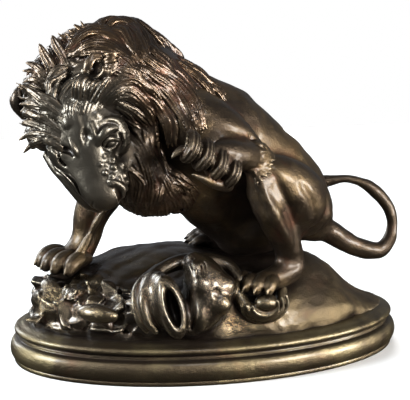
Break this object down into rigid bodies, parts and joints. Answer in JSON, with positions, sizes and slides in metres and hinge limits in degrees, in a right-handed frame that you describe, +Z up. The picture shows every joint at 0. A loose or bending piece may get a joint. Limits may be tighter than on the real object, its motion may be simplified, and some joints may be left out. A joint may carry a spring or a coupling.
{
  "type": "bronze lion sculpture",
  "caption": "Cast bronze table sculpture: a maned lion crouching with one forepaw raised over a serpent, on a rocky mound and a moulded oval plinth",
  "frame": {"origin": "centre of the plinth's flat underside", "axes": "+Z up, +X along the plinth's long axis towards the lion's tail, -Y towards the side the lion's face and raised paw turn to"},
  "size_m": [0.3873, 0.2173, 0.3277],
  "materials": {
    "lion_bronze": "dark brown-green patinated cast bronze, polished by handling on the high points, darker and redder in the mane",
    "base_bronze": "dark olive-brown patinated cast bronze, glossy, with paler olive on the plinth's mouldings"
  },
  "bodies": {
    "root": {"lion": "lion_bronze", "base": "base_bronze"}
  },
  "joints": []
}
